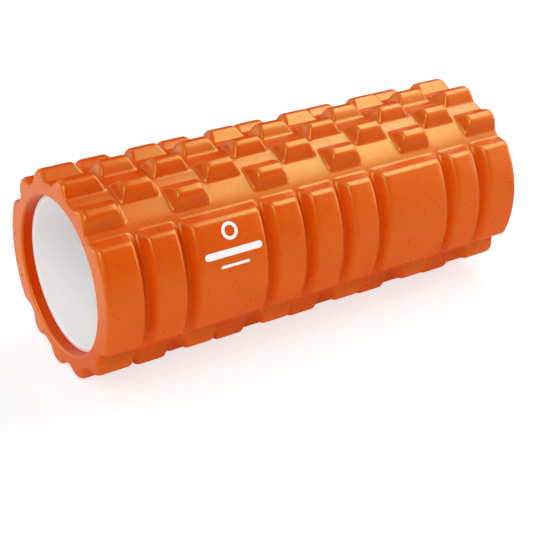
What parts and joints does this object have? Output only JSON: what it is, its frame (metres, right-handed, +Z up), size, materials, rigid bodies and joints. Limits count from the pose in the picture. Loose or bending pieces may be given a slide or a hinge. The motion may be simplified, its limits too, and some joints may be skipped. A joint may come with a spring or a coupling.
{
  "type": "foam roller",
  "caption": "Hollow massage roller: a foam sleeve moulded with small blocks and long bars, bonded over a rigid plastic tube.",
  "frame": {"origin": "centre of the roller: on its axis, midway between the two end faces", "axes": "+X along the roller's axis; +Z up through the middle row of small blocks when the roller lies on the floor; -Y faces the user and carries the print, through the middle of one band of long bars"},
  "size_m": [0.33, 0.137, 0.137],
  "materials": {
    "foam": "satin moulded closed-cell EVA foam, orange",
    "core_plastic": "smooth extruded plastic, white",
    "adhesive": "dry contact adhesive, pale amber, hidden between tube and foam",
    "print": "matte white heat-transfer print"
  },
  "bodies": {
    "root": {"foam_sleeve": "foam", "core_tube": "core_plastic", "adhesive_film": "adhesive", "printed_mark": "print"}
  },
  "joints": []
}
